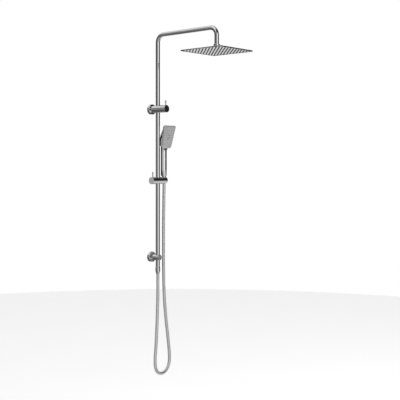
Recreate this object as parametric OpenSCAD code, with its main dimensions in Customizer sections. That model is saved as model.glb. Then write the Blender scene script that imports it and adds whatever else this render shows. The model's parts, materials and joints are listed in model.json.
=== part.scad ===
// Wall-mounted shower column: a rail on two brackets, a swan-neck arm with a square rain head,
// a hand shower on a sliding holder, and a smooth hose that hangs from the foot of the rail.
// +Z is up, -Y points out of the wall, +X is the hand shower's side. The origin is the centre
// of the water inlet, on the wall.

/* [Rail] */
// Outside diameter of the rail and of the arm
rail_d = 22; // [20:1:25]
// Wall thickness of the rail and of the arm
rail_wall = 1.2; // [1:0.1:1.5]
// Distance from the wall to the rail's axis
rail_out = 52; // [50:1:56]
// Height of the lower bracket below the inlet
bracket_drop = 765; // [700:5:800]
// Height of the rail's foot below the inlet
foot_drop = 812; // [800:1:820]

/* [Arm] */
// Height of the arm's axis above the inlet
arm_rise = 382; // [350:1:420]
// Reach of the arm, from the rail's axis to the rain head's centre
arm_reach = 398; // [350:1:450]
// Radius of the arm's bends, on its axis
bend_r = 40; // [35:1:50]
// Height of the arm's open end above the inlet
arm_end = 300; // [295:1:305]

/* [Rain head] */
// Side of the square head
head_side = 250; // [200:10:300]
// Height of the head's underside above the inlet
head_under = 264.5; // [264:0.1:265]
// Thickness of the head at its rim
head_thick = 5; // [5:0.1:5.5]
// Nozzles along one side of the head
nozzle_rows = 12; // [8:1:14]

/* [Brackets] */
// Diameter of the diverter body and of its knob
diverter_d = 38; // [36:1:38]
// Distance from the wall to the front of the diverter body
diverter_front = 90; // [90:1:92]
// Distance from the wall to the front of the knob
knob_front = 116; // [114:1:120]
// Diameter of the wall flanges
flange_d = 53; // [52:1:56]
// Diameter of the lower bracket's arm
bracket_d = 30; // [29:1:32]

/* [Slider and hand shower] */
// Depth of the slider's axis below the inlet
slider_drop = 368; // [300:1:450]
// Diameter of the slider
slider_d = 36.4; // [36:0.1:38]
// Distance from the rail's axis to the hand shower's axis
handset_x = 46; // [45:1:47]
// Side of the hand shower's square handle
handle_side = 26; // [24:0.5:27]
// Height of the hand shower's handle
handle_h = 156; // [150:1:158]
// Height of the hand shower's spray head, along its face
spray_h = 119; // [110:1:125]
// Forward tilt of the spray head
spray_tilt = 14; // [12:1:16]

/* [Hose] */
// Outside diameter of the hose
hose_d = 16; // [14:1:16]

/* [Hidden] */
$fn = 96;
small_fn = 24;
eps = 0.01;
fit_gap = 0.05;      // radial clearance of a running or plugged fit
free_gap = 0.3;      // clearance between faces that only pass each other

rail_r = rail_d / 2;
rail_y = -rail_out;
tube_bore_r = rail_r - rail_wall;
head_y = rail_y - arm_reach;

// The diverter: distances from the wall, along its axis
thread_r = 10.3;
thread_depth = 15;
filter_depth = 17;
socket_floor = 8;
cavity_r = 12.05;
cavity_back = 66;
seal_front = 67.5;
fixed_disc_front = 70.5;
turning_disc_front = 73.5;
shell_front = 84;
nut_front = 89.5;
spindle_r = 4;
spindle_front = 104;
port_y = 8.5;
port_r = 2;
fixed_disc_r = 11;
turning_disc_r = 8.6;
barrel_port_r = 3.5;
knob_gap = 0.4;
knob_wall = 2.5;
knob_hub_r = 7.5;
knob_cup_depth = 10;
knob_screw_y = 102.5;
knob_screw_r = 2;
knob_pin_y = 108;
pin_top = 43;
pin_r = 3.2;

// The flanges and the lower bracket
flange_h = 15;
flange_cup_r = flange_d / 2 - 2.2;
flange_cup_h = 12.5;
flange_lip = 2.5;
flange_screw_y = 2.5;
flange_screw_r = 1.5;
ring_wall = 2;
ring_h = 2.5;
plate_hole_x = 17.75;
plate_hole_r = 2.25;
plate_h = 3.5;
boss_front = 18;
boss_r = 10;
bracket_front = 65;
rail_screw_r = 2;

// The ball joint under the arm
ball_r = 9;
ball_z = 282;
collar_r = 15.2;
collar_top = 299;
collar_bottom = 274;
seat_r = 11.5;
seat_top = 287;
lip_r = 7.8;
neck_r = 5.5;

// The rain head
head_top = head_under + head_thick;
sheet_h = 0.8;
face_h = 1.2;
mat_h = 1.2;
nozzle_margin = 12.5;
nozzle_base_r = 2.75;
nozzle_tip_r = 2;
nozzle_out = 3.6;
nozzle_bore_r = 0.7;
head_corner = 4;

// The slider, in its own frame: origin where its axis crosses the rail's axis
slider_z = -slider_drop;
slider_r = slider_d / 2;
slider_left = -22;
slider_right = 59;
clamp_left = -48;
clamp_pin_x = -37;
clamp_pin_h = 26;
liner_r = 12.4;
cone_low_r = 9.6;
cone_high_r = 11.35;
slot_w = 17;
clamp_screw_r = 4;
pad_r = 6;
pad_left = -17.9;

// The hand shower, in its own frame: origin on its axis at the slider's height
ferrule_low = -16;
ferrule_shoulder = 8.9;
ferrule_high = 11;
washer_high = 13;
nut_high = 23;
handle_low = nut_high + free_gap;
handset_wall = 2;
handle_wall = 5;
handle_corner = 6;
handset_thread_r = 9.7;
nipple_in = 14;
spray_low = 169;
spray_back = 7;
spray_thick = 10;
spray_w_low = 70;
spray_w_high = 86;
spray_corner = 7;
spray_corner_low = 12;
cover_low = 3;
cover_high = 106;
cover_knee = 44;
cover_corner = 6;
water_port_y = 22;
water_port_r = 6;
tube_entry_z = -8;
cover_w = 50;
cover_w_high = 74;
cover_depth_low = 21;
cover_depth_knee = 31;
spray_column_pitch = 15;
spray_row_first = 18;
spray_row_pitch = 12.9;
button_low = 108;
button_high = 142;
button_w = 10;
button_h = 2.9;
button_proud = 1;
pocket_h = 4.2;

// The hose's foot: heights below the inlet
outlet_shoulder = foot_drop + 3;
outlet_thread_end = outlet_shoulder + 12;
outlet_thread_r = 9.7;
washer_r = 9.2;
washer_h = 2;
hose_bore_r = 5;
hose_nut_end = 850;
hose_sides = 10;
hose_steps = 2;

// Centreline of the hose, from the outlet at the rail's foot round to the hand shower
HOSE_ROUTE = [
    [0, -52, -850], [0, -52, -890], [0, -52, -940], [-1, -52, -990], [-3, -52, -1040],
    [-6, -53, -1090], [-10, -54, -1140], [-14, -55, -1190], [-18, -55, -1235], [-22, -55, -1273],
    [-23, -55, -1309], [-17, -54, -1335], [-4, -52, -1354], [14, -50, -1366], [38, -47, -1371],
    [62, -44, -1366], [81, -42, -1353], [94, -41, -1333], [100, -40, -1308], [99, -40, -1275],
    [94, -40, -1235], [87, -41, -1190], [79, -42, -1145], [70, -44, -1100], [62, -46, -1050],
    [54, -48, -1000], [49, -50, -950], [45, -51, -900], [43, -52, -850], [42, -52, -800],
    [42, -52, -750], [42, -52, -700], [42, -52, -650], [42, -52, -600], [43, -52, -550],
    [44, -52, -500], [45, -52, -450], [46, -52, -415], [46, -52, -384]
];

// Points of an arc in the plane, from angle a0 to angle a1
function arc(centre, r, a0, a1, steps = 6) = [
    for (i = [0:steps])
        let (a = a0 + (a1 - a0) * i / steps)
        [centre[0] + r * cos(a), centre[1] + r * sin(a)]
];

// A point on the smooth curve through four route points, at t between the middle two
function smooth_point(a, b, c, d, t) =
    0.5 * (2 * b + (c - a) * t + (2 * a - 5 * b + 4 * c - d) * t * t
        + (3 * b - a - 3 * c + d) * t * t * t);

// The route with extra points between its own, on a smooth curve through them
function smooth_route(route, steps) =
    let (last = len(route) - 1)
    [
        for (i = [0:last - 1], k = [0:steps - 1])
            smooth_point(route[max(i - 1, 0)], route[i], route[i + 1],
                route[min(i + 2, last)], k / steps),
        route[last]
    ];

// Direction of a path at point i; its two ends point straight along Z
function heading(path, i) =
    i == 0 ? [0, 0, -1]
    : i == len(path) - 1 ? [0, 0, 1]
    : (path[i + 1] - path[i - 1]) / norm(path[i + 1] - path[i - 1]);

// A ring of points round a path; one radius always lies across the path's upright plane
function ring(path, i, r, sides) =
    let (
        along = heading(path, i),
        across = cross([0, 1, 0], along) / norm(cross([0, 1, 0], along)),
        up = cross(along, across)
    )
    [for (k = [0:sides - 1]) path[i] + r * (cos(360 * k / sides) * across + sin(360 * k / sides) * up)];

// A closed tube of the given radius along a path
module swept_rod(path, r, sides) {
    rings = len(path);
    side_faces = [
        for (i = [0:rings - 2], k = [0:sides - 1])
            let (n = (k + 1) % sides)
            [i * sides + k, i * sides + n, (i + 1) * sides + n, (i + 1) * sides + k]
    ];
    polyhedron(
        points = [for (i = [0:rings - 1]) each ring(path, i, r, sides)],
        faces = concat(
            side_faces,
            [[for (k = [sides - 1:-1:0]) k]],
            [[for (k = [0:sides - 1]) (rings - 1) * sides + k]]
        ),
        convexity = 8
    );
}

// Turns children so that their Z axis points out of the wall, at height z
module out_of_wall(z = 0) {
    translate([0, 0, z]) rotate([90, 0, 0]) children();
}

// Places children on the rain head's axis
module at_head() {
    translate([0, head_y, 0]) children();
}

// Places children in the slider's own frame
module at_slider() {
    translate([0, rail_y, slider_z]) children();
}

// Places children in the hand shower's own frame
module at_handset() {
    translate([handset_x, rail_y, slider_z]) children();
}

// A rod from one height to another
module rod(low, high, r) {
    translate([0, 0, low]) cylinder(h = high - low, r = r);
}

// A tube from one height to another
module pipe(low, high, r, bore) {
    difference() {
        rod(low, high, r);
        rod(low - 1, high + 1, bore);
    }
}

// A turned disc with a rounded front edge, from z = 0 to z = h
module turned_disc(r, h, edge) {
    rotate_extrude()
        polygon(concat([[0, 0], [r, 0]], arc([r - edge, h - edge], edge, 0, 90), [[0, h]]));
}

// A rod along X, from x0 to x1
module cross_rod(x0, x1, r) {
    translate([x0, 0, 0]) rotate([0, 90, 0]) cylinder(h = x1 - x0, r = r);
}

// A small hexagon-socket screw along Z, with its socket at the high end
module set_screw(low, high, r) {
    difference() {
        rod(low, high, r);
        translate([0, 0, high - r]) cylinder(h = r + 1, r = r * 0.55, $fn = 6);
    }
}

// Outline of a rounded square
module rounded_square(side, corner) {
    half = side / 2 - corner;
    polygon([
        each arc([half, half], corner, 0, 90),
        each arc([-half, half], corner, 90, 180),
        each arc([-half, -half], corner, 180, 270),
        each arc([half, -half], corner, 270, 360)
    ]);
}

// ---- Upper bracket and diverter ----

// Wall flange: a cup with a flat front and a rounded edge
module flange(bore_r) {
    rim = flange_d / 2;
    edge = 1.5;
    difference() {
        rotate_extrude()
            polygon([
                [bore_r, 0], [rim, 0],
                each arc([rim - edge, flange_h - edge], edge, 0, 90),
                [bore_r, flange_h]
            ]);
        rod(-1, flange_cup_h, flange_cup_r - flange_lip);
        rod(-1, 5, flange_cup_r);
    }
}

module upper_flange() {
    color("silver") out_of_wall() flange(diverter_d / 2 + 0.1);
}

module upper_flange_ring() {
    color("dimgray") out_of_wall()
        pipe(flange_cup_h - ring_h, flange_cup_h, diverter_d / 2 + ring_wall, diverter_d / 2);
}

module tube_sockets() {
    for (side = [0, 180])
        translate([0, rail_y, 0]) rotate([side, 0, 0]) {
            rod(socket_floor, diverter_d, rail_r + fit_gap);
            rod(socket_floor + 2, socket_floor + 4, rail_r + 1.6);
        }
}

module ports(low, high) {
    rod(low, high, barrel_port_r);
    for (side = [-1, 1])
        translate([0, side * port_y, 0]) rod(low, high, port_r);
}

module diverter_body() {
    color("silver") difference() {
        out_of_wall() difference() {
            cylinder(h = diverter_front, r = diverter_d / 2);
            rod(-1, thread_depth, thread_r);
            rod(thread_depth - eps, filter_depth, thread_r - 0.7);
            rod(filter_depth - eps, cavity_back + eps, barrel_port_r);
            rod(cavity_back, diverter_front + 1, cavity_r);
            for (side = [-1, 1])
                translate([0, side * port_y, 0]) rod(rail_out, cavity_back + 1, port_r);
        }
        tube_sockets();
    }
}

module inlet_filter() {
    color("dimgray") out_of_wall()
        pipe(thread_depth, filter_depth, thread_r - 0.8, 5.5);
}

module port_seal() {
    color("black") out_of_wall() difference() {
        rod(cavity_back, seal_front, cavity_r - 0.25);
        ports(cavity_back - 1, seal_front + 1);
    }
}

module fixed_disc() {
    color("ivory") out_of_wall() difference() {
        rod(seal_front, fixed_disc_front, fixed_disc_r);
        ports(seal_front - 1, fixed_disc_front + 1);
    }
}

module cartridge_shell() {
    color("white") out_of_wall() difference() {
        rod(seal_front, shell_front, cavity_r - fit_gap);
        rod(seal_front - 1, fixed_disc_front, fixed_disc_r + fit_gap);
        rod(fixed_disc_front - eps, turning_disc_front + 1.6, turning_disc_r + 0.4);
        rod(seal_front, shell_front + 1, spindle_r + fit_gap);
    }
}

module cartridge_nut() {
    color("goldenrod") out_of_wall()
        pipe(shell_front, nut_front, cavity_r - fit_gap, 7);
}

module turning_disc() {
    color("ivory") out_of_wall() difference() {
        rod(fixed_disc_front + fit_gap, turning_disc_front, turning_disc_r);
        translate([0, port_y / 2, fixed_disc_front])
            cube([4, port_y + 2, 3], center = true);
    }
}

module diverter_spindle() {
    color("goldenrod") out_of_wall() {
        rod(turning_disc_front, turning_disc_front + 1.2, turning_disc_r - 0.6);
        rod(turning_disc_front, spindle_front, spindle_r);
    }
}

module diverter_knob() {
    back = diverter_front + knob_gap;
    color("silver") out_of_wall() difference() {
        translate([0, 0, back]) turned_disc(diverter_d / 2, knob_front - back, 1);
        difference() {
            rod(back - 1, back + knob_cup_depth, diverter_d / 2 - knob_wall);
            rod(back - 2, back + knob_cup_depth + 1, knob_hub_r);
        }
        rod(back - 1, spindle_front + 0.3, spindle_r + fit_gap);
        translate([0, 0, knob_pin_y]) rotate([-90, 0, 0]) rod(10, diverter_d, pin_r);
        translate([0, 0, knob_screw_y]) rotate([90, 0, 0]) rod(0, diverter_d, knob_screw_r);
    }
}

// A lever pin: a slim stem with a thicker, round-ended grip
module lever_pin(low, high) {
    grip_r = pin_r + 0.6;
    rod(low, high - 7, pin_r);
    translate([0, 0, high - 8]) turned_disc(grip_r, 8, 1.6);
}

module diverter_pin() {
    color("silver") translate([0, -knob_pin_y, 0]) lever_pin(10, pin_top);
}

module knob_screw() {
    color("gray") translate([0, -knob_screw_y, 0]) rotate([180, 0, 0])
        set_screw(spindle_r, diverter_d / 2 - 0.7, knob_screw_r);
}

// ---- Arm, riser and rail ----

// One quarter bend of the arm about X, in the plane of the riser and the arm
module bend(r) {
    rotate([90, 0, 90]) rotate_extrude(angle = 90) translate([bend_r, 0]) circle(r = r);
}

module arm_path(r, over) {
    top = arm_rise - bend_r;
    translate([0, rail_y, 0]) rod(socket_floor + 0.2 - over, top, r);
    translate([0, rail_y - bend_r, top]) bend(r);
    translate([0, rail_y - bend_r, arm_rise]) rotate([90, 0, 0])
        cylinder(h = arm_reach - 2 * bend_r, r = r);
    translate([0, head_y + bend_r, top]) rotate([0, 0, 180]) bend(r);
    at_head() rod(arm_end - over, top, r);
}

module riser_arm() {
    color("silver") difference() {
        arm_path(rail_r, 0);
        arm_path(tube_bore_r, 1);
    }
}

// Rubber ring in a tube socket of the diverter body
module socket_ring() {
    pipe(socket_floor + 2, socket_floor + 4, rail_r + 1.6, rail_r);
}

module riser_ring() {
    color("black") translate([0, rail_y, 0]) socket_ring();
}

module rail_ring() {
    color("black") translate([0, rail_y, 0]) rotate([180, 0, 0]) socket_ring();
}

module rail_tube() {
    color("silver") translate([0, rail_y, 0])
        pipe(-foot_drop, -socket_floor - 0.2, rail_r, tube_bore_r);
}

// ---- Ball joint and rain head ----

module arm_nipple() {
    color("goldenrod") at_head() difference() {
        union() {
            rod(arm_end, arm_end + 12, tube_bore_r - fit_gap);
            rod(ball_z + ball_r + 0.6, arm_end, thread_r - 0.2);
        }
        rod(ball_z, arm_end + 20, 6);
    }
}

module swivel_collar() {
    color("silver") at_head() difference() {
        union() {
            rod(collar_bottom + 3, collar_top - 0.8, collar_r);
            translate([0, 0, collar_top - 0.8]) cylinder(h = 0.8, r1 = collar_r, r2 = collar_r - 0.8);
            translate([0, 0, collar_bottom]) cylinder(h = 3, r1 = collar_r - 3, r2 = collar_r);
        }
        rod(collar_bottom + 3, seat_top + 0.6, seat_r + fit_gap);
        rod(seat_top, collar_top + 1, thread_r - 0.15);
        rod(collar_bottom - 1, collar_bottom + 4, lip_r);
    }
}

module ball_seat() {
    color("white") at_head() difference() {
        rod(collar_bottom + 3.3, seat_top, seat_r);
        translate([0, 0, ball_z]) sphere(r = ball_r + fit_gap);
    }
}

module ball_stud() {
    color("silver") at_head() difference() {
        union() {
            translate([0, 0, ball_z]) sphere(r = ball_r);
            rod(head_top, ball_z, neck_r);
            rod(head_top + 0.4, head_top + 1.6, 10);
            rod(head_top - 2.6, head_top + 1, 6.5);
        }
        rod(head_under, ball_z + ball_r + 1, 3);
    }
}

module stud_gasket() {
    color("black") at_head() pipe(head_top, head_top + 0.4, 9.6, 6.6);
}

module stud_nut() {
    color("goldenrod") at_head() difference() {
        translate([0, 0, head_top - sheet_h - 1.8]) cylinder(h = 1.8, r = 12, $fn = 6);
        rod(head_under, head_top + 1, 6.5 + fit_gap);
    }
}

module head_top_shell() {
    inner = head_side - 2;
    color("silver") at_head() difference() {
        translate([0, 0, head_under]) linear_extrude(head_thick)
            rounded_square(head_side, head_corner);
        translate([0, 0, head_under - 1]) linear_extrude(head_thick - sheet_h + 1)
            rounded_square(inner, head_corner - 1);
        rod(head_under, head_top + 1, 6.6);
    }
}

// Places children at every nozzle of the rain head
module each_nozzle() {
    pitch = (head_side - 2 * nozzle_margin) / (nozzle_rows - 1);
    first = -head_side / 2 + nozzle_margin;
    for (i = [0:nozzle_rows - 1], j = [0:nozzle_rows - 1])
        translate([first + i * pitch, first + j * pitch, 0]) children();
}

module head_face_plate() {
    color("silver") at_head() translate([0, 0, head_under]) difference() {
        linear_extrude(face_h) rounded_square(head_side - 2.2, head_corner - 1.1);
        each_nozzle() translate([0, 0, -1])
            cylinder(h = face_h + 2, r = nozzle_base_r, $fn = small_fn);
    }
}

module head_nozzles() {
    color("dimgray") at_head() translate([0, 0, head_under]) difference() {
        union() {
            translate([0, 0, face_h]) linear_extrude(mat_h)
                rounded_square(head_side - 6, head_corner - 1);
            each_nozzle() {
                translate([0, 0, -nozzle_out])
                    cylinder(h = nozzle_out, r1 = nozzle_tip_r, r2 = nozzle_base_r, $fn = small_fn);
                cylinder(h = face_h + 0.1, r = nozzle_base_r, $fn = small_fn);
            }
        }
        each_nozzle() translate([0, 0, -nozzle_out - 1])
            cylinder(h = nozzle_out + face_h + mat_h + 2, r = nozzle_bore_r, $fn = 16);
    }
}

// ---- Lower bracket and hose outlet ----

module lower_flange() {
    color("silver") out_of_wall(-bracket_drop) difference() {
        flange(bracket_d / 2 + 0.1);
        translate([0, 0, flange_screw_y]) rotate([0, -90, 0]) rod(20, flange_d, flange_screw_r);
    }
}

module lower_flange_screw() {
    color("gray") out_of_wall(-bracket_drop) translate([0, 0, flange_screw_y]) rotate([0, -90, 0])
        set_screw(flange_cup_r - 0.1, flange_d / 2 + 2.8, flange_screw_r);
}

module wall_plate() {
    color("lightgray") out_of_wall(-bracket_drop) difference() {
        union() {
            cylinder(h = plate_h, r = flange_cup_r - 0.3);
            cylinder(h = boss_front, r = boss_r);
        }
        for (side = [-1, 1])
            translate([side * plate_hole_x, 0, -1]) cylinder(h = plate_h + 2, r = plate_hole_r);
        rod(-1, boss_front + 1, 3);
    }
}

module lower_bracket() {
    color("silver") difference() {
        out_of_wall(-bracket_drop) difference() {
            rod(plate_h + 0.2, bracket_front, bracket_d / 2);
            rod(0, boss_front + 0.5, boss_r + fit_gap);
        }
        translate([0, rail_y, -bracket_drop]) {
            rod(-bracket_d, bracket_d, rail_r + fit_gap);
            rotate([0, -90, 0]) rod(0, bracket_d, rail_screw_r);
        }
    }
}

module lower_bracket_cap() {
    color("silver") out_of_wall(-bracket_drop) translate([0, 0, bracket_front])
        turned_disc(bracket_d / 2 - 0.2, 1.6, 0.8);
}

module rail_screw() {
    color("gray") translate([0, rail_y, -bracket_drop]) rotate([0, -90, 0])
        set_screw(rail_r + 0.05, bracket_d / 2 - 0.3, rail_screw_r);
}

module outlet_nipple() {
    color("goldenrod") translate([0, rail_y, 0]) difference() {
        union() {
            rod(-foot_drop, -foot_drop + 14, tube_bore_r - fit_gap);
            rod(-outlet_shoulder, -foot_drop, rail_r);
            rod(-outlet_thread_end, -outlet_shoulder, outlet_thread_r);
        }
        rod(-outlet_thread_end - 1, -foot_drop + 20, 6);
    }
}

module outlet_washer() {
    color("black") translate([0, rail_y, 0])
        pipe(-outlet_thread_end - washer_h, -outlet_thread_end, washer_r, hose_bore_r);
}

module hose_nut() {
    top = -outlet_shoulder - 0.2;
    color("silver") translate([0, rail_y, 0]) difference() {
        rotate_extrude()
            polygon([
                [0, -hose_nut_end], [8.6, -hose_nut_end], [9.4, -hose_nut_end + 4],
                each arc([7.2, -hose_nut_end + 14], 5, -15, 0),
                [12.2, top - 1.5], [11.4, top], [0, top]
            ]);
        rod(-outlet_thread_end, top + 1, outlet_thread_r + fit_gap);
        rod(-outlet_thread_end - 4.1, -outlet_thread_end + eps, washer_r + 0.1);
        rod(-hose_nut_end - 1, -outlet_thread_end, 7.2);
    }
}

module hose_lower_ferrule() {
    color("goldenrod") translate([0, rail_y, 0]) difference() {
        union() {
            rod(-hose_nut_end, -outlet_thread_end - washer_h, 7.1);
            rod(-outlet_thread_end - 4, -outlet_thread_end - washer_h, washer_r);
        }
        rod(-hose_nut_end - 1, -outlet_thread_end, hose_bore_r);
    }
}

module hose() {
    color("darkgray") swept_rod(smooth_route(HOSE_ROUTE, hose_steps), hose_d / 2, hose_sides);
}

// ---- Slider ----

module slider_body() {
    color("silver") at_slider() difference() {
        rotate([0, 90, 0]) translate([0, 0, slider_left])
            turned_disc(slider_r, slider_right - slider_left, 5);
        rod(-slider_d, slider_d, liner_r + fit_gap);
        translate([handset_x, 0, -slider_r - 0.5])
            cylinder(h = slider_d + 1, r1 = cone_low_r, r2 = cone_high_r);
        translate([handset_x, -slot_w / 2, -slider_d])
            cube([slider_d, slot_w, 2 * slider_d]);
        cross_rod(slider_left - 1, 0, clamp_screw_r + fit_gap);
        cross_rod(pad_left - 0.1, 0, pad_r + fit_gap);
    }
}

module slider_liner() {
    color("dimgray") at_slider() difference() {
        pipe(-13, 13, liner_r, rail_r + 0.06);
        cross_rod(-20, 0, pad_r + 0.1);
    }
}

module brake_pad() {
    color("black") at_slider() difference() {
        cross_rod(pad_left, -9, pad_r);
        rod(-10, 10, rail_r + 0.06);
    }
}

module clamp_knob() {
    back = -slider_left + knob_gap;
    color("silver") at_slider() rotate([0, -90, 0]) difference() {
        translate([0, 0, back]) turned_disc(slider_r, -clamp_left - back, 1);
        difference() {
            rod(back - 1, back + 9, slider_r - knob_wall);
            rod(back - 2, back + 10, knob_hub_r);
        }
        rod(back - 1, -clamp_left - 5, clamp_screw_r);
        translate([0, 0, -clamp_pin_x]) rotate([0, 90, 0]) rod(9, slider_d, pin_r);
    }
}

module clamp_pin() {
    color("silver") at_slider() translate([clamp_pin_x, 0, 0])
        lever_pin(9, slider_r + clamp_pin_h);
}

module clamp_screw() {
    color("goldenrod") at_slider() cross_rod(clamp_left + 5.2, pad_left - 0.1, clamp_screw_r);
}

// ---- Upper end of the hose ----

module hose_upper_ferrule() {
    color("goldenrod") at_handset() difference() {
        union() {
            rod(ferrule_low, ferrule_high - fit_gap, 8.2);
            rod(ferrule_shoulder, ferrule_high - fit_gap, washer_r);
        }
        rod(ferrule_low - 1, ferrule_high + 1, hose_bore_r);
    }
}

module handset_washer() {
    color("black") at_handset() pipe(ferrule_high, washer_high, washer_r, hose_bore_r);
}

// ---- Hand shower ----

// Radius of the holder's cone at a height in the slider's frame
function cone_r(z) =
    cone_low_r + (cone_high_r - cone_low_r) * (z + slider_r + 0.5) / (slider_d + 1);

module hose_cone_nut() {
    low = ferrule_low + 1;
    color("silver") at_handset() difference() {
        translate([0, 0, low])
            cylinder(h = nut_high - low, r1 = cone_r(low) - free_gap, r2 = cone_r(nut_high) - free_gap);
        rod(low - 1, nut_high + 1, 8.27);
        rod(ferrule_shoulder - fit_gap, nut_high + 1, 9.27);
        rod(washer_high, nut_high + 1, handset_thread_r + fit_gap);
    }
}

module handset_nipple() {
    color("goldenrod") at_handset() pipe(washer_high, handle_low + nipple_in - 0.2, handset_thread_r, 5.5);
}

// Places children on the spray head's back plane: local Y runs up the face, local Z points out of it
module at_spray() {
    at_handset() translate([0, -spray_back, spray_low])
        rotate([90 + spray_tilt, 0, 0]) children();
}

// Outline of the spray head: a tall shape, wider at the top, with round corners
module spray_outline(inset = 0) {
    low = spray_w_low / 2 - spray_corner_low;
    high = spray_w_high / 2 - spray_corner;
    r_low = spray_corner_low - inset;
    r_high = spray_corner - inset;
    polygon([
        each arc([high, spray_h - spray_corner], r_high, 0, 90),
        each arc([-high, spray_h - spray_corner], r_high, 90, 180),
        each arc([-low, spray_corner_low], r_low, 180, 270),
        each arc([low, spray_corner_low], r_low, 270, 360)
    ]);
}

// The hand shower's handle, up to the spray head, with its bore and the button's pocket
module handle() {
    difference() {
        at_handset() translate([0, 0, handle_low]) linear_extrude(handle_h)
            rounded_square(handle_side, handle_corner);
        at_handset() translate([0, 0, handle_low + nipple_in]) linear_extrude(handle_h)
            rounded_square(handle_side - 2 * handle_wall, 2);
        at_handset() rod(handle_low - 1, handle_low + nipple_in + eps, handset_thread_r + fit_gap);
        at_spray() translate([-60, cover_low, -60]) cube([120, 120, 120]);
        button_pocket();
    }
}

module handset_shell() {
    color("silver") difference() {
        union() {
            handle();
            at_spray() linear_extrude(spray_thick) spray_outline();
        }
        at_spray() translate([0, 0, handset_wall]) linear_extrude(spray_thick)
            spray_outline(handset_wall);
        at_spray() translate([0, water_port_y, -1]) rod(0, handset_wall + 2, water_port_r);
    }
}

// Outline of the spray button: an upright slot with round ends
module button_outline(grow) {
    w = button_w / 2 + grow;
    polygon(concat(
        arc([0, button_high - button_w / 2], w, 0, 180, 12),
        arc([0, button_low + button_w / 2], w, 180, 360, 12)
    ));
}

module at_button() {
    at_handset() translate([0, -handle_side / 2, 0]) rotate([90, 0, 0]) children();
}

module button_pocket() {
    at_button() translate([0, 0, -pocket_h]) linear_extrude(pocket_h + 2) button_outline(free_gap);
}

module spray_button() {
    color("gainsboro") at_button()
        translate([0, 0, -button_h + button_proud]) linear_extrude(button_h) button_outline(0);
}

module button_spring() {
    middle = (button_low + button_high) / 2;
    color("gray") at_button() translate([0, middle, 0])
        pipe(-pocket_h + 0.02, -button_h + button_proud - 0.02, 3, 2.2);
}

module water_tube() {
    color("white") at_handset()
        pipe(handle_low + nipple_in, spray_low - 6, 4.5, 3.5);
}

// Two upright pegs, one at each side of the back cover; the cover is the hull of such pairs
module cover_pegs(width, y, low) {
    for (side = [-1, 1])
        translate([side * (width / 2 - cover_corner), y, low])
            cylinder(h = 1, r = cover_corner, $fn = 32);
}

// Bulge behind the spray head: its back goes on up from the handle's, then slopes to the head's
// top as it widens
module cover_form(inset) {
    width = cover_w - 2 * inset;
    low = cover_low + 0.2 + cover_corner + inset;
    hull() {
        cover_pegs(width, low, -1 - eps + inset / 2);
        cover_pegs(cover_w_high - 2 * inset, cover_high - cover_corner - inset, -1 - eps + inset / 2);
        cover_pegs(width - 8, low, -cover_depth_low + inset);
        cover_pegs(width - 8, cover_knee - cover_corner - inset, -cover_depth_knee + inset);
    }
}

module handset_back_cover() {
    color("dimgray") at_spray() difference() {
        cover_form(0);
        cover_form(handset_wall);
        translate([0, cover_low, tube_entry_z]) rotate([-90, 0, 0]) rod(0, 2 * handset_wall, 5);
    }
}

// Places children at every nozzle of the hand shower's face
module each_spray_nozzle() {
    for (row = [0:7], column = [-2:2])
        translate([column * spray_column_pitch, spray_row_first + row * spray_row_pitch, 0])
            children();
    for (k = [0:7])
        translate([7.5 * sin(45 * k), spray_h / 2 + 12 * cos(45 * k), 0]) children();
}

module handset_face_plate() {
    color("lightgray") at_spray() translate([0, 0, spray_thick - 1.6]) difference() {
        linear_extrude(1.6) spray_outline(handset_wall + 0.1);
        each_spray_nozzle() rod(-1, 3, 1.5, $fn = small_fn);
    }
}

module handset_nozzles() {
    color("dimgray") at_spray() translate([0, 0, spray_thick - 3]) difference() {
        union() {
            linear_extrude(1.4) spray_outline(handset_wall + 1);
            each_spray_nozzle() rod(0, 4, 1.45, $fn = small_fn);
        }
        each_spray_nozzle() rod(-1, 5, 0.5, $fn = 16);
    }
}

upper_flange();
upper_flange_ring();
diverter_body();
inlet_filter();
port_seal();
fixed_disc();
cartridge_shell();
cartridge_nut();
riser_arm();
riser_ring();
arm_nipple();
swivel_collar();
rail_tube();
rail_ring();
lower_flange();
lower_flange_screw();
wall_plate();
lower_bracket();
lower_bracket_cap();
rail_screw();
outlet_nipple();
outlet_washer();
hose_nut();
hose_lower_ferrule();
hose();
diverter_knob();
diverter_pin();
diverter_spindle();
turning_disc();
knob_screw();
ball_seat();
ball_stud();
stud_gasket();
stud_nut();
head_top_shell();
head_face_plate();
head_nozzles();
slider_body();
slider_liner();
brake_pad();
clamp_knob();
clamp_pin();
clamp_screw();
hose_upper_ferrule();
handset_washer();
hose_cone_nut();
handset_nipple();
handset_shell();
handset_back_cover();
handset_face_plate();
handset_nozzles();
water_tube();
button_spring();
spray_button();
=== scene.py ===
"""Looks of the shower column: hose, hand shower, materials, studio and camera. Metres, row frame."""
import json
import math

import bmesh
import bpy
from mathutils import Matrix, Vector


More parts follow.
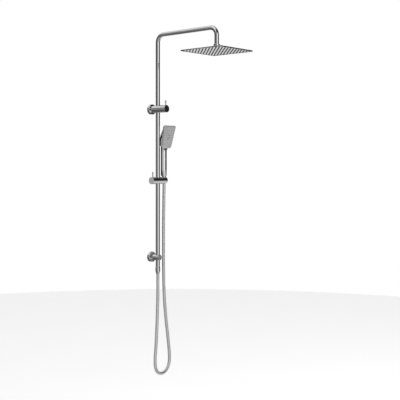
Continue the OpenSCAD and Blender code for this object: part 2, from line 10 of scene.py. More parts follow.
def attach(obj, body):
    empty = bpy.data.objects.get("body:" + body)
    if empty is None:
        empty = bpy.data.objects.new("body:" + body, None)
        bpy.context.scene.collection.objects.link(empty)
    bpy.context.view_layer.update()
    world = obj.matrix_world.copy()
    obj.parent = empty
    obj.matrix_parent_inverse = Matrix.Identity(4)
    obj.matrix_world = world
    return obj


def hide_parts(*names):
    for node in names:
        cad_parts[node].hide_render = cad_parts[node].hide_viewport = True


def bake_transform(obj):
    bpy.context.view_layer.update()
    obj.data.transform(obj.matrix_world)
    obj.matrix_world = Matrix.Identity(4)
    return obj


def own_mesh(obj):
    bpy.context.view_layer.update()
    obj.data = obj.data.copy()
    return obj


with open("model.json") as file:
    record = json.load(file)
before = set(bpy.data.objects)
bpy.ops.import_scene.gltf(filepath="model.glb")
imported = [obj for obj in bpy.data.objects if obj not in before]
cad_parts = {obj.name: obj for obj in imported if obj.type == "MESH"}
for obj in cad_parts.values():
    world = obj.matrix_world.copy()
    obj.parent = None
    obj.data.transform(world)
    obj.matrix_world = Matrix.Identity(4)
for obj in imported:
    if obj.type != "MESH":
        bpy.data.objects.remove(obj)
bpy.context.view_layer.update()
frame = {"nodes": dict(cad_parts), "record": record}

MM = 0.001
scene = bpy.context.scene

# ---- Camera ----

CAMERA_AT = Vector((-3.060, -3.035, -0.276))
CAMERA_YAW = math.radians(48.65)
LENS_MM = 74.4
SHIFT_Y = -0.0933


def make_camera():
    """A level camera that looks along its yaw, with the frame shifted down."""
    data = bpy.data.cameras.new("camera")
    data.lens = LENS_MM
    data.sensor_width = 36
    data.shift_y = SHIFT_Y
    data.dof.use_dof = False
    camera = bpy.data.objects.new("camera", data)
    camera.location = CAMERA_AT
    camera.rotation_euler = (math.pi / 2, 0, -CAMERA_YAW)
    scene.collection.objects.link(camera)
    scene.camera = camera


make_camera()


# ---- Mesh helpers ----

SHARP_ANGLE = math.radians(38)


def link_mesh(name, bm, smooth=True):
    """A new object from a bmesh, with smooth faces."""
    bmesh.ops.recalc_face_normals(bm, faces=bm.faces)
    mesh = bpy.data.meshes.new(name)
    bm.to_mesh(mesh)
    bm.free()
    for face in mesh.polygons:
        face.use_smooth = smooth
    mesh.set_sharp_from_angle(angle=SHARP_ANGLE)
    piece = bpy.data.objects.new(name, mesh)
    scene.collection.objects.link(piece)
    return piece


def smooth_path(route, steps):
    """Points on a Catmull-Rom curve through the route."""
    points = [Vector(p) * MM for p in route]
    path = []
    for i in range(len(points) - 1):
        a, b = points[max(i - 1, 0)], points[i]
        c, d = points[i + 1], points[min(i + 2, len(points) - 1)]
        for k in range(steps):
            t = k / steps
            path.append(0.5 * (2 * b + (c - a) * t + (2 * a - 5 * b + 4 * c - d) * t ** 2
                               + (3 * b - a - 3 * c + d) * t ** 3))
    path.append(points[-1])
    return path


def tube_along(name, path, radius, sides):
    """A closed tube along a path, with a UV map of turn and length in metres."""
    bm = bmesh.new()
    uv = bm.loops.layers.uv.new("along")
    rings, lengths = [], [0.0]
    for i, point in enumerate(path):
        ahead = path[min(i + 1, len(path) - 1)]
        behind = path[max(i - 1, 0)]
        along = (ahead - behind).normalized()
        across = Vector((0, 1, 0)).cross(along).normalized()
        up = along.cross(across)
        if i:
            lengths.append(lengths[-1] + (point - path[i - 1]).length)
        turns = [2 * math.pi * k / sides for k in range(sides)]
        rings.append([bm.verts.new(point + radius * (math.cos(a) * across + math.sin(a) * up))
                      for a in turns])
    for i in range(len(rings) - 1):
        for k in range(sides):
            n = (k + 1) % sides
            face = bm.faces.new((rings[i][k], rings[i][n], rings[i + 1][n], rings[i + 1][k]))
            corners = [(k, i), (k + 1, i), (k + 1, i + 1), (k, i + 1)]
            for loop, (turn, at) in zip(face.loops, corners):
                loop[uv].uv = (turn / sides, lengths[at])
    bm.faces.new(list(reversed(rings[0])))
    bm.faces.new(rings[-1])
    return link_mesh(name, bm), lengths[-1]


# ---- Hose ----

HOSE_D = 0.016
HOSE_ROUTE = [
    (0, -52, -850), (0, -52, -890), (0, -52, -940), (-1, -52, -990), (-3, -52, -1040),
    (-6, -53, -1090), (-10, -54, -1140), (-14, -55, -1190), (-18, -55, -1235), (-22, -55, -1273),
    (-23, -55, -1309), (-17, -54, -1335), (-4, -52, -1354), (14, -50, -1366), (38, -47, -1371),
    (62, -44, -1366), (81, -42, -1353), (94, -41, -1333), (100, -40, -1308), (99, -40, -1275),
    (94, -40, -1235), (87, -41, -1190), (79, -42, -1145), (70, -44, -1100), (62, -46, -1050),
    (54, -48, -1000), (49, -50, -950), (45, -51, -900), (43, -52, -850), (42, -52, -800),
    (42, -52, -750), (42, -52, -700), (42, -52, -650), (42, -52, -600), (43, -52, -550),
    (44, -52, -500), (45, -52, -450), (46, -52, -415), (46, -52, -384),
]
HOSE_STEPS = 10
HOSE_SIDES = 20
HOSE_RIB_PITCH = 0.0045
# The end that slides out is a little thinner than the hose
TAIL_LENGTH = 0.052
TAIL_STEPS = 8
TAIL_GAP = 0.0003


def make_hose():
    """The hose, and the end that slides out of it when the hand shower is lifted."""
    path = smooth_path(HOSE_ROUTE, HOSE_STEPS)
    hose, length = tube_along("shower_hose", path, HOSE_D / 2, HOSE_SIDES)
    print("hose length", round(length, 4))
    top = path[-1]
    tail_path = [top - Vector((0, 0, TAIL_LENGTH * k / TAIL_STEPS)) for k in range(TAIL_STEPS + 1)]
    tail, _ = tube_along("hose_tail", tail_path, HOSE_D / 2 - TAIL_GAP, HOSE_SIDES)
    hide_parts("hose")
    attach(tail, "hose_end")
    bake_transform(hose)
    return hose, tail


hose, hose_tail = make_hose()


# ---- Lofts and turned forms ----

def loft(bm, rings):
    """Skins rings of points, each with the same count, into one closed form."""
    made = [[bm.verts.new(p) for p in ring] for ring in rings]
    count = len(made[0])
    for low, high in zip(made, made[1:]):
        for k in range(count):
            n = (k + 1) % count
            bm.faces.new((low[k], low[n], high[n], high[k]))
    bm.faces.new(list(reversed(made[0])))
    bm.faces.new(made[-1])


def arc(centre, r, start, end, steps):
    """Points of an arc in the plane, angles in degrees."""
    turns = [math.radians(start + (end - start) * k / steps) for k in range(steps + 1)]
    return [(centre[0] + r * math.cos(t), centre[1] + r * math.sin(t)) for t in turns]


def rounded_outline(half_w, front, back, r_front, r_back, steps=6):
    """A rounded rectangle; y runs from front to back, and each end has its own corner radius."""
    points = arc((half_w - r_back, back - r_back), r_back, 0, 90, steps)
    points += arc((-half_w + r_back, back - r_back), r_back, 90, 180, steps)
    points += arc((-half_w + r_front, front + r_front), r_front, 180, 270, steps)
    points += arc((half_w - r_front, front + r_front), r_front, 270, 360, steps)
    return points


def soft_polygon(corners, steps=4):
    """Outline through corners of (x, y, radius), each rounded by its own radius."""
    points = []
    for i, (x, y, r) in enumerate(corners):
        here = Vector((x, y))
        back = (Vector(corners[i - 1][:2]) - here).normalized()
        on = (Vector(corners[(i + 1) % len(corners)][:2]) - here).normalized()
        half = back.angle(on) / 2
        centre = here + (back + on).normalized() * (r / math.sin(half))
        start = here + back * (r / math.tan(half)) - centre
        stop = here + on * (r / math.tan(half)) - centre
        for k in range(steps + 1):
            turn = (start * (1 - k / steps) + stop * (k / steps)).normalized()
            points.append(tuple(centre + r * turn))
    return points


def turned(bm, profile, sides, place):
    """A turned form from a profile of (radius, height) points, closed at both ends."""
    turns = [2 * math.pi * k / sides for k in range(sides)]
    loft(bm, [[place @ Vector((r * math.cos(a), r * math.sin(a), h)) for a in turns]
              for r, h in profile])


def rolled(r, step):
    """A quarter roll of radius r as (inset, depth) points, one every so many degrees."""
    turns = [math.radians(a) for a in range(0, 91, step)]
    return [(r * (1 - math.cos(a)), r * (1 - math.sin(a))) for a in turns]


def smoothstep(low, high, x):
    """Rises smoothly from 0 at low to 1 at high."""
    t = min(max((x - low) / (high - low), 0.0), 1.0)
    return t * t * (3 - 2 * t)


# ---- Hand shower, in its CAD frame: origin on its axis at the slider's height, millimetres ----

HANDSET_AT = Vector((46, -52, -368))
HANDLE_HALF = 13.0
HANDLE_LOW = 23.3
HANDLE_HIGH = 173
HANDLE_CORNER = 4.0
# The grip's lower edge is rounded by this much
EDGE_INSET = 0.7
# The bevel at each side of the grip's front: inset from the side, from the front, and radius
GRIP_BEVEL = [(0, 5.6, 1.2), (4.0, 2.6, 6), (8.5, 0, 3)]
# The bevel shrinks by a share between these heights, and the grip ends almost square
BEVEL_END_LOW, BEVEL_END_HIGH, BEVEL_LOSS = 155, 160, 0.85
SPRAY_LOW = 169.0
SPRAY_BACK = 7.0
SPRAY_THICK = 10.0
SPRAY_H = 119.0
SPRAY_TILT = math.radians(14)
SPRAY_HALF_LOW, SPRAY_HALF_HIGH = 35.0, 43.0
SPRAY_CORNER_LOW, SPRAY_CORNER_HIGH = 12.0, 7.0
SPRAY_BACK_ROLL, SPRAY_LIP, SPRAY_LIP_W, SPRAY_RECESS = 3.0, 0.9, 2.0, 1.8
SPRAY_ROWS = 8
SPRAY_ROW_FIRST, SPRAY_ROW_PITCH, SPRAY_COLUMN_PITCH = 18.0, 12.9, 15.0
# The ring of nozzles in the middle of the face
RING_COUNT, RING_HALF_W, RING_HALF_H = 8, 7.5, 12
NOZZLE_R = 1.45
# The back cover: where it starts, where its waist ends and where its back starts to slope
COVER_LOW, COVER_WAIST_END, COVER_KNEE, COVER_TOP = 172.6, 186, 216, 276
COVER_FLARE_LOW, COVER_FLARE_HIGH = 10, 13
COVER_THIN, COVER_CORNER = 1.5, 7.0
BUTTON_MIDDLE = 125.0
KEY_HALF, KEY_RISE = 5.0, 12.0
KEY_STEPS = 14
POCKET_GAP, POCKET_DEPTH, POCKET_REACH = 0.3, 4.2, 2.0
SPRING_IN, SPRING_OUT = -9.04, -10.86
SPRING_R, SPRING_WIRE_R, SPRING_TURNS = 2.6, 0.2, 3


def in_handset():
    """From the hand shower's millimetres to the row frame's metres."""
    return Matrix.Scale(MM, 4) @ Matrix.Translation(HANDSET_AT)


def in_spray():
    """Local y runs up the spray head's back, local z out of its face."""
    turn = Matrix.Rotation(math.pi / 2 + SPRAY_TILT, 4, "X")
    return in_handset() @ Matrix.Translation((0, -SPRAY_BACK, SPRAY_LOW)) @ turn


def spray_outline(inset, steps=8):
    """Outline of the spray head, wider at the top, with round corners."""
    low, high = SPRAY_HALF_LOW - SPRAY_CORNER_LOW, SPRAY_HALF_HIGH - SPRAY_CORNER_HIGH
    r_low, r_high = SPRAY_CORNER_LOW - inset, SPRAY_CORNER_HIGH - inset
    top, bottom = SPRAY_H - SPRAY_CORNER_HIGH, SPRAY_CORNER_LOW
    return (arc((high, top), r_high, 0, 90, steps) + arc((-high, top), r_high, 90, 180, steps)
            + arc((-low, bottom), r_low, 180, 270, steps) + arc((low, bottom), r_low, 270, 360, steps))


def make_handle():
    """The grip: flat sides and a bevelled front, square again under the head."""
    place = in_handset()
    bm = bmesh.new()
    rings = []
    heights = [HANDLE_LOW, HANDLE_LOW + 0.3, HANDLE_LOW + 1, 60, 106, 144]
    heights += [*range(BEVEL_END_LOW, BEVEL_END_HIGH + 1), HANDLE_HIGH]
    for z in heights:
        edge = EDGE_INSET * (1 - smoothstep(HANDLE_LOW - 0.4, HANDLE_LOW + 1, z))
        cut = 1 - BEVEL_LOSS * smoothstep(BEVEL_END_LOW, BEVEL_END_HIGH, z)
        side = HANDLE_HALF - edge
        bevel = [(side - cut * x, cut * y - side, cut * r) for x, y, r in GRIP_BEVEL]
        section = soft_polygon([(side, side, HANDLE_CORNER), (-side, side, HANDLE_CORNER)]
                               + [(-x, y, r) for x, y, r in bevel] + bevel[::-1])
        rings.append([place @ Vector((x, y, z)) for x, y in section])
    loft(bm, rings)
    return link_mesh("handset_grip", bm)


def make_spray_shell():
    """The head's casing: a shallow tray with rolled edges and a lip round the face."""
    place = in_spray()
    profile = [(inset, z) for z, inset in rolled(SPRAY_BACK_ROLL, 18)]
    profile += [(inset, SPRAY_THICK - z) for inset, z in rolled(SPRAY_LIP, 30)]
    profile += [(SPRAY_LIP_W - 0.3, SPRAY_THICK), (SPRAY_LIP_W, SPRAY_THICK - 0.3),
                (SPRAY_LIP_W, SPRAY_THICK - SPRAY_RECESS)]
    bm = bmesh.new()
    loft(bm, [[place @ Vector((x, y, z)) for x, y in spray_outline(inset)] for inset, z in profile])
    return link_mesh("handset_head_shell", bm)


def make_back_cover():
    """The bulge behind the head: it goes on up from the grip, then slopes and widens to the top."""
    place = in_handset()
    bm = bmesh.new()
    rings = []
    for z in [COVER_LOW, 173, *range(174, 190, 2), *range(190, COVER_TOP, 5)]:
        back_plane = -SPRAY_BACK - (z - SPRAY_LOW) * math.tan(SPRAY_TILT)
        rise = max(0.0, (z - COVER_KNEE) / (COVER_TOP - COVER_KNEE))
        flare = COVER_FLARE_LOW * smoothstep(171, COVER_WAIST_END, z)
        half = HANDLE_HALF + flare + COVER_FLARE_HIGH * rise
        reach = min(HANDLE_HALF, HANDLE_HALF + (back_plane + COVER_THIN - HANDLE_HALF) * rise)
        r = min(COVER_CORNER, (reach - back_plane) * 0.45)
        section = rounded_outline(half, back_plane + 0.05, reach, 0.2, r)
        rings.append([place @ Vector((x, y, z)) for x, y in section])
    loft(bm, rings)
    return link_mesh("handset_back", bm)


def spray_nozzles():
    """Places of the face's nozzles: five columns of eight, and a ring in the middle."""
    places = [(column * SPRAY_COLUMN_PITCH, SPRAY_ROW_FIRST + row * SPRAY_ROW_PITCH)
              for row in range(SPRAY_ROWS) for column in range(-2, 3)]
    turns = [2 * math.pi * k / RING_COUNT for k in range(RING_COUNT)]
    places += [(RING_HALF_W * math.sin(a), SPRAY_H / 2 + RING_HALF_H * math.cos(a)) for a in turns]
    return places


def make_spray_nozzles():
    """Soft nozzles of the face: a collar, a rounded tip and an open bore."""
    profile = [(0.02, -1), (NOZZLE_R, -1), (NOZZLE_R, 0.45), (1.3, 0.85), (1.0, 1.0), (0.55, 1.0),
               (0.42, 0.85), (0.40, -0.2), (0.02, -0.2)]
    place = in_spray()
    bm = bmesh.new()
    for x, y in spray_nozzles():
        turned(bm, profile, 16, place @ Matrix.Translation((x, y, SPRAY_THICK)))
    return link_mesh("handset_nozzle_tips", bm)


def key_ring(inset, y):
    """A ring of points round the spray button's outline, y outwards from the grip's front."""
    r = KEY_HALF - inset
    low, high = BUTTON_MIDDLE - KEY_RISE, BUTTON_MIDDLE + KEY_RISE
    outline = arc((0, high), r, 0, 180, KEY_STEPS) + arc((0, low), r, 180, 360, KEY_STEPS)
    return [in_handset() @ Vector((x, y - HANDLE_HALF, z)) for x, z in outline]


def cut_pocket(grip):
    """Cuts the button's pocket into the grip's front."""
    bm = bmesh.new()
    loft(bm, [key_ring(-POCKET_GAP, y) for y in (-POCKET_REACH, POCKET_DEPTH)])
    cutter = link_mesh("pocket_cutter", bm)
    cut = grip.modifiers.new("pocket", "BOOLEAN")
    cut.object = cutter
    cut.solver = "EXACT"
    bpy.context.view_layer.update()
    hollowed = grip.evaluated_get(bpy.context.evaluated_depsgraph_get())
    mesh = bpy.data.meshes.new_from_object(hollowed)
    grip.modifiers.clear()
    grip.data = mesh
    mesh.set_sharp_from_angle(angle=SHARP_ANGLE)
    bpy.data.objects.remove(cutter)


def make_button():
    """The spray button: a domed slot-shaped key in the grip's front."""
    profile = [(0.0, 1.9), (0.0, -0.5), (0.15, -0.85), (0.5, -1.05), (1.4, -1.2), (3.2, -1.3)]
    bm = bmesh.new()
    loft(bm, [key_ring(inset, y) for inset, y in profile])
    return link_mesh("spray_key", bm)


def make_spring():
    """The coil spring under the button."""
    steps = 20 * SPRING_TURNS
    path = []
    for k in range(steps + 1):
        a = 2 * math.pi * SPRING_TURNS * k / steps
        y = SPRING_IN + (SPRING_OUT - SPRING_IN) * k / steps
        point = Vector((SPRING_R * math.cos(a), y, BUTTON_MIDDLE + SPRING_R * math.sin(a)))
        path.append(in_handset() @ point)
    spring, _ = tube_along("button_coil", path, SPRING_WIRE_R * MM, 8)
    return spring


# ---- Rain head, in millimetres about its own axis ----

HEAD_AXIS_Y = -450.0
HEAD_HALF = 125.0
HEAD_UNDER = 264.5
HEAD_TOP = 269.5
HEAD_CORNER = 4.0
HEAD_RIM = 1.3
NOZZLE_ROWS = 12
NOZZLE_MARGIN = 12.5
HEAD_ROLL, HEAD_LIP = 1.8, 0.6


def at_head():
    """From the rain head's millimetres to the row frame's metres."""
    return Matrix.Scale(MM, 4) @ Matrix.Translation((0, HEAD_AXIS_Y, 0))


def head_outline(inset):
    """Outline of the square head, with small round corners."""
    half, r = HEAD_HALF - HEAD_CORNER, HEAD_CORNER - inset
    return (arc((half, half), r, 0, 90, 6) + arc((-half, half), r, 90, 180, 6)
            + arc((-half, -half), r, 180, 270, 6) + arc((half, -half), r, 270, 360, 6))


def make_head_tray():
    """The head's upper shell: a thin tray with a rolled edge and a fine lip underneath."""
    place = at_head()
    profile = [(inset, HEAD_TOP - z) for inset, z in reversed(rolled(HEAD_ROLL, 18))]
    rim = HEAD_UNDER - HEAD_RIM
    profile += [(inset, rim + z) for inset, z in rolled(HEAD_LIP, 30)]
    profile += [(1.0, rim), (1.05, HEAD_UNDER + 1.2)]
    bm = bmesh.new()
    loft(bm, [[place @ Vector((x, y, z)) for x, y in head_outline(inset)] for inset, z in profile])
    return link_mesh("rain_head_tray", bm)


def make_head_nozzles():
    """Soft nozzles under the head: collar, tapered body, rounded tip and an open bore."""
    profile = [(0.02, 1.0), (2.72, 1.0), (2.72, 0.0), (2.6, -0.35), (2.25, -2.7), (2.0, -3.3),
               (1.5, -3.6), (0.85, -3.6), (0.7, -3.2), (0.65, -1.5), (0.02, -1.5)]
    place = at_head()
    pitch = 2 * (HEAD_HALF - NOZZLE_MARGIN) / (NOZZLE_ROWS - 1)
    first = NOZZLE_MARGIN - HEAD_HALF
    bm = bmesh.new()
    for i in range(NOZZLE_ROWS):
        for j in range(NOZZLE_ROWS):
            at = Matrix.Translation((first + i * pitch, first + j * pitch, HEAD_UNDER))
            turned(bm, profile, 12, place @ at)
    return link_mesh("rain_nozzle_tips", bm)


# ---- Materials ----

def new_material(name, **sockets):
    """A principled material; each keyword is a socket's name in lower case with underscores."""
    material = bpy.data.materials.new(name)
    material.use_nodes = True
    nodes, links = material.node_tree.nodes, material.node_tree.links
    shader = nodes["Principled BSDF"]
    for key, value in sockets.items():
        shader.inputs[key.replace("_", " ").title().replace("Ior", "IOR")].default_value = value
    return material, nodes, links, shader


def noise(nodes, links, scale, detail, stretch=(1, 1, 1)):
    """Noise in the object's own coordinates."""
    where = nodes.new("ShaderNodeTexCoord")
    mapping = nodes.new("ShaderNodeMapping")
    mapping.inputs["Scale"].default_value = stretch
    texture = nodes.new("ShaderNodeTexNoise")
    texture.inputs["Scale"].default_value = scale
    texture.inputs["Detail"].default_value = detail
    links.new(where.outputs["Object"], mapping.inputs["Vector"])
    links.new(mapping.outputs["Vector"], texture.inputs["Vector"])
    return texture.outputs["Fac"]


def spread(nodes, links, value, low, high):
    """The value of a texture, spread from low to high."""
    node = nodes.new("ShaderNodeMapRange")
    node.inputs["From Min"].default_value = 0.3
    node.inputs["From Max"].default_value = 0.7
    node.inputs["To Min"].default_value = low
    node.inputs["To Max"].default_value = high
    links.new(value, node.inputs["Value"])
    return node.outputs["Result"]


def two_tone(nodes, links, value, dark, light):
    """A colour between two, by the value of a texture."""
    ramp = nodes.new("ShaderNodeValToRGB")
    ramp.color_ramp.elements[0].position = 0.3
    ramp.color_ramp.elements[0].color = (*dark, 1)
    ramp.color_ramp.elements[1].position = 0.7
    ramp.color_ramp.elements[1].color = (*light, 1)
    links.new(value, ramp.inputs["Fac"])
    return ramp.outputs["Color"]


def bump(nodes, links, shader, height, distance, strength=1.0):
    """Relief from a height, distance metres deep."""
    node = nodes.new("ShaderNodeBump")
    node.inputs["Distance"].default_value = distance
    node.inputs["Strength"].default_value = strength
    links.new(height, node.inputs["Height"])
    links.new(node.outputs["Normal"], shader.inputs["Normal"])


def finish_surface(name, dark, light, rough, scale, stretch=(1, 1, 1), relief=0.0, **sockets):
    """A material whose colour, roughness and relief all vary with noise."""
    material, nodes, links, shader = new_material(name, **sockets)
    fine = noise(nodes, links, scale, 6, stretch)
    broad = noise(nodes, links, scale * 0.08, 3, stretch)
    links.new(two_tone(nodes, links, broad, dark, light), shader.inputs["Base Color"])
    links.new(spread(nodes, links, fine, *rough), shader.inputs["Roughness"])
    if relief:
        bump(nodes, links, shader, fine, relief)
    return material


def hose_material():
    """Satin silver sleeve over a wire spiral that shows faintly through it."""
    material, nodes, links, shader = new_material("satin_hose", metallic=0.6, ior=1.5)
    where = nodes.new("ShaderNodeUVMap")
    where.uv_map = "along"
    split = nodes.new("ShaderNodeSeparateXYZ")
    links.new(where.outputs["UV"], split.inputs["Vector"])
    turns = nodes.new("ShaderNodeMath")
    turns.operation = "MULTIPLY_ADD"
    links.new(split.outputs["Y"], turns.inputs[0])
    turns.inputs[1].default_value = 1 / HOSE_RIB_PITCH
    links.new(split.outputs["X"], turns.inputs[2])
    wave = nodes.new("ShaderNodeMath")
    wave.operation = "PINGPONG"
    wave.inputs[1].default_value = 0.5
    links.new(turns.outputs[0], wave.inputs[0])
    rib = nodes.new("ShaderNodeMapRange")
    rib.interpolation_type = "SMOOTHSTEP"
    rib.inputs["From Max"].default_value = 0.5
    links.new(wave.outputs[0], rib.inputs["Value"])
    links.new(two_tone(nodes, links, rib.outputs["Result"], (0.60, 0.60, 0.60), (0.72, 0.72, 0.72)),
              shader.inputs["Base Color"])
    links.new(spread(nodes, links, noise(nodes, links, 900, 4), 0.26, 0.36),
              shader.inputs["Roughness"])
    bump(nodes, links, shader, rib.outputs["Result"], 0.0001, 0.5)
    return material


MATERIALS = {
    "chrome": finish_surface("chrome", (0.72, 0.72, 0.73), (0.77, 0.77, 0.78), (0.03, 0.07), 300,
                             metallic=1.0),
    "steel": finish_surface("polished_steel", (0.64, 0.64, 0.65), (0.72, 0.72, 0.73), (0.08, 0.16),
                            500, (1, 0.05, 1), 0.000004, metallic=1.0),
    "hose_pvc": hose_material(),
    "silicone": finish_surface("grey_silicone", (0.080, 0.080, 0.082), (0.110, 0.110, 0.112),
                               (0.45, 0.6), 900, relief=0.00002),
    "rubber": finish_surface("black_rubber", (0.012, 0.012, 0.012), (0.03, 0.03, 0.03),
                             (0.5, 0.7), 700, relief=0.00003),
    "brass": finish_surface("turned_brass", (0.66, 0.45, 0.18), (0.78, 0.56, 0.26), (0.18, 0.34),
                            600, (1, 1, 12), 0.00001, metallic=1.0),
    "ceramic": finish_surface("ground_ceramic", (0.78, 0.75, 0.68), (0.86, 0.83, 0.77),
                              (0.2, 0.35), 600),
    "white_plastic": finish_surface("white_plastic", (0.72, 0.72, 0.70), (0.80, 0.80, 0.78),
                                    (0.35, 0.5), 500, relief=0.00001),
    "grey_plastic": finish_surface("grey_plastic", (0.10, 0.10, 0.10), (0.14, 0.14, 0.14),
                                   (0.4, 0.55), 500, relief=0.00001),
    "chromed_plastic": finish_surface("plated_plastic", (0.72, 0.72, 0.73), (0.77, 0.77, 0.78),
                                      (0.05, 0.10), 250, metallic=1.0),
    "face_plastic": finish_surface("satin_face", (0.66, 0.66, 0.67), (0.74, 0.74, 0.75),
                                   (0.22, 0.30), 400, relief=0.000002, metallic=0.8),
}
SLOT_OF = {s["node"]: s["material_slot"] for s in frame["record"]["subparts"]}


def dress(piece, slot):
    """Puts a finish on every material slot of a piece."""
    if not piece.material_slots:
        piece.data.materials.append(MATERIALS[slot])
    for place in piece.material_slots:
        place.material = MATERIALS[slot]


for name, node in frame["nodes"].items():
    dress(node, SLOT_OF[name])
for piece in (hose, hose_tail):
    dress(piece, "hose_pvc")


def stand_in(piece, body, slot, *nodes):
    """A detailed piece in place of CAD nodes, on their body and in their finish."""
    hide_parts(*nodes)
    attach(piece, body)
    dress(piece, slot)


stand_in(make_spray_shell(), "handset", "chromed_plastic", "handset_shell")
grip = make_handle()
cut_pocket(grip)
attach(grip, "handset")
dress(grip, "chromed_plastic")
stand_in(make_back_cover(), "handset", "chromed_plastic", "handset_back_cover")
stand_in(make_spray_nozzles(), "handset", "silicone", "handset_nozzles")
stand_in(make_button(), "button", "chromed_plastic", "spray_button")
spring = make_spring()
stand_in(spring, "handset", "steel", "button_spring")
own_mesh(spring)
stand_in(make_head_tray(), "rain_head", "steel", "head_top_shell")
stand_in(make_head_nozzles(), "rain_head", "silicone", "head_nozzles")


# ---- Studio ----

FLOOR_Z = -1.85
FLOOR_R = 6.0
# Radiance by angle above the horizon, for each side of the studio
SKY = {
    "back": [(-90, 0.40), (-36, 0.60), (-12, 0.80), (-5, 0.70), (-1, 0.02), (20, 0.02), (45, 0.08),
             (60, 0.50), (90, 0.80)],
    "left": [(-90, 0.15), (-50, 0.12), (-30, 0.12), (-18, 0.03), (15, 0.02), (24, 0.35), (34, 0.85),
             (55, 0.85), (90, 1.0)],
    "left_disc": [(-90, 0.20), (-30, 0.15), (-12, 0.22), (-4, 0.44), (-1, 0.50), (2.8, 0.50), (3.4, 0.15),
                  (12, 0.18), (24, 0.55), (40, 0.85), (90, 1.0)],
    "left_front": [(-90, 0.20), (-30, 0.15), (-12, 0.10), (12, 0.10), (24, 0.50), (40, 0.85), (90, 1.0)],
    "front_left": [(-90, 0.30), (-20, 0.40), (4, 0.40), (10, 0.26), (20, 0.30), (35, 0.80), (90, 1.0)],
    "front_right": [(-90, 0.30), (-20, 0.85), (0, 1.05), (10, 1.20), (20, 1.10), (27, 0.90), (32, 0.05),
                    (60, 0.05), (70, 0.90), (90, 1.0)],
    "camera": [(-90, 0.30), (-60, 0.20), (-50, 0.03), (60, 0.03), (70, 0.85), (90, 1.0)],
    "right_front": [(-90, 0.30), (-60, 0.30), (-50, 0.04), (-25, 0.05), (-10, 0.12), (15, 0.10), (60, 0.05),
                    (70, 0.85), (90, 1.0)],
    "right_disc": [(-90, 0.40), (-40, 0.75), (-20, 0.62), (-6.5, 0.27), (0, 0.05), (4, 0.02), (27, 0.01),
                   (35, 0.06), (65, 0.08), (75, 0.90), (90, 1.0)],
    "right": [(-90, 0.40), (-40, 0.75), (-20, 0.55), (-12, 0.12), (-5, 0.05), (4, 0.02), (27, 0.01),
              (35, 0.06), (65, 0.08), (75, 0.90), (90, 1.0)],
}
# The sides in order round the column, each with the angle where it starts. Angles run from the
# camera's direction towards its right, from straight behind the column and back to there.
SIDE_STARTS = [("left", -168), ("left_disc", -88), ("left_front", -79), ("front_left", -48),
               ("camera", -9), ("front_right", 7), ("right_front", 55), ("right_disc", 90),
               ("right", 104), ("back", 168)]
SIDE_FADE = 3


def grey_ramp(nodes, links, value, stops):
    """A ramp of greys over a value from 0 to 1; stops are (angle, grey)."""
    ramp = nodes.new("ShaderNodeValToRGB")
    low, high = stops[0][0], stops[-1][0]
    elements = ramp.color_ramp.elements
    while len(elements) < len(stops):
        elements.new(0.5)
    for element, (angle, grey) in zip(elements, stops):
        element.position = (angle - low) / (high - low)
    for element, (angle, grey) in zip(elements, stops):
        element.color = (grey, grey, grey, 1)
    links.new(value, ramp.inputs["Fac"])
    return ramp.outputs["Color"]


def math_node(nodes, links, operation, *values):
    """A math node whose inputs are numbers or sockets."""
    node = nodes.new("ShaderNodeMath")
    node.operation = operation
    for socket, value in zip(node.inputs, values):
        if isinstance(value, (int, float)):
            socket.default_value = value
        else:
            links.new(value, socket)
    return node.outputs[0]


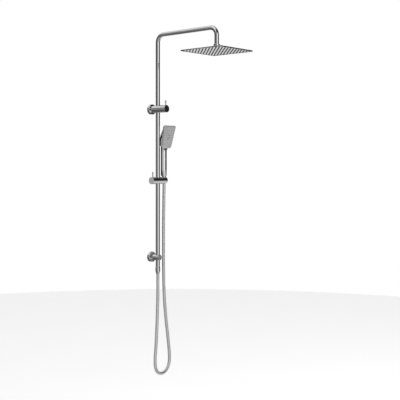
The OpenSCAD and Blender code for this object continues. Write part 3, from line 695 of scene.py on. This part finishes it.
def make_world():
    """A white studio whose dark flags at both sides give polished tubes their dark edges."""
    world = bpy.data.worlds.new("studio")
    world.use_nodes = True
    scene.world = world
    nodes, links = world.node_tree.nodes, world.node_tree.links
    where = nodes.new("ShaderNodeTexCoord")
    turn = nodes.new("ShaderNodeMapping")
    turn.vector_type = "VECTOR"
    turn.inputs["Rotation"].default_value = (0, 0, math.pi / 2 + CAMERA_YAW)
    links.new(where.outputs["Generated"], turn.inputs["Vector"])
    around = nodes.new("ShaderNodeTexGradient")
    around.gradient_type = "RADIAL"
    links.new(turn.outputs["Vector"], around.inputs["Vector"])
    split = nodes.new("ShaderNodeSeparateXYZ")
    links.new(where.outputs["Generated"], split.inputs["Vector"])
    rise = math_node(nodes, links, "ARCSINE", split.outputs["Z"])
    height = math_node(nodes, links, "MULTIPLY_ADD", rise, 1 / math.pi, 0.5)
    level = grey_ramp(nodes, links, height, SKY["back"])
    for side, start in SIDE_STARTS:
        share = nodes.new("ShaderNodeMapRange")
        share.interpolation_type = "SMOOTHSTEP"
        share.inputs["From Min"].default_value = (start - SIDE_FADE) / 360 + 0.5
        share.inputs["From Max"].default_value = (start + SIDE_FADE) / 360 + 0.5
        links.new(around.outputs["Fac"], share.inputs["Value"])
        step = nodes.new("ShaderNodeMix")
        links.new(share.outputs["Result"], step.inputs[0])
        links.new(level, step.inputs[2])
        links.new(grey_ramp(nodes, links, height, SKY[side]), step.inputs[3])
        level = step.outputs[0]
    seen = nodes.new("ShaderNodeBackground")
    seen.inputs["Color"].default_value = (1, 1, 1, 1)
    lit = nodes["Background"]
    links.new(level, lit.inputs["Color"])
    ray = nodes.new("ShaderNodeLightPath")
    mix = nodes.new("ShaderNodeMixShader")
    links.new(ray.outputs["Is Camera Ray"], mix.inputs["Fac"])
    links.new(lit.outputs[0], mix.inputs[1])
    links.new(seen.outputs[0], mix.inputs[2])
    links.new(mix.outputs[0], nodes["World Output"].inputs["Surface"])


def make_floor():
    """A round pale floor under the column."""
    bm = bmesh.new()
    bmesh.ops.create_circle(bm, cap_ends=True, segments=64, radius=FLOOR_R)
    floor = link_mesh("floor", bm, smooth=False)
    floor.location = (0, 0, FLOOR_Z)
    material, nodes, links, shader = new_material("pale_floor", roughness=0.8)
    shader.inputs["Emission Color"].default_value = (1, 1, 1, 1)
    shader.inputs["Emission Strength"].default_value = 0.45
    links.new(two_tone(nodes, links, noise(nodes, links, 2, 2), (0.90, 0.90, 0.90), (0.92, 0.92, 0.92)),
              shader.inputs["Base Color"])
    floor.data.materials.append(material)
    floor.visible_glossy = False


LIGHT_TARGET = Vector((0, -0.1, -0.5))


def make_light(name, at, size, power):
    """A round area light that looks at the column and doesn't show in reflections."""
    data = bpy.data.lights.new(name, "AREA")
    data.shape = "DISK"
    data.size = size
    data.energy = power
    light = bpy.data.objects.new(name, data)
    light.location = at
    light.rotation_euler = (LIGHT_TARGET - Vector(at)).to_track_quat("-Z", "Y").to_euler()
    light.visible_glossy = False
    scene.collection.objects.link(light)


make_world()
make_floor()
make_light("key_light", (1.6, -3.2, 1.6), 1.6, 60)
make_light("fill_light", (-3.0, -1.5, 0.8), 2.0, 18)
scene.view_settings.view_transform = "Standard"
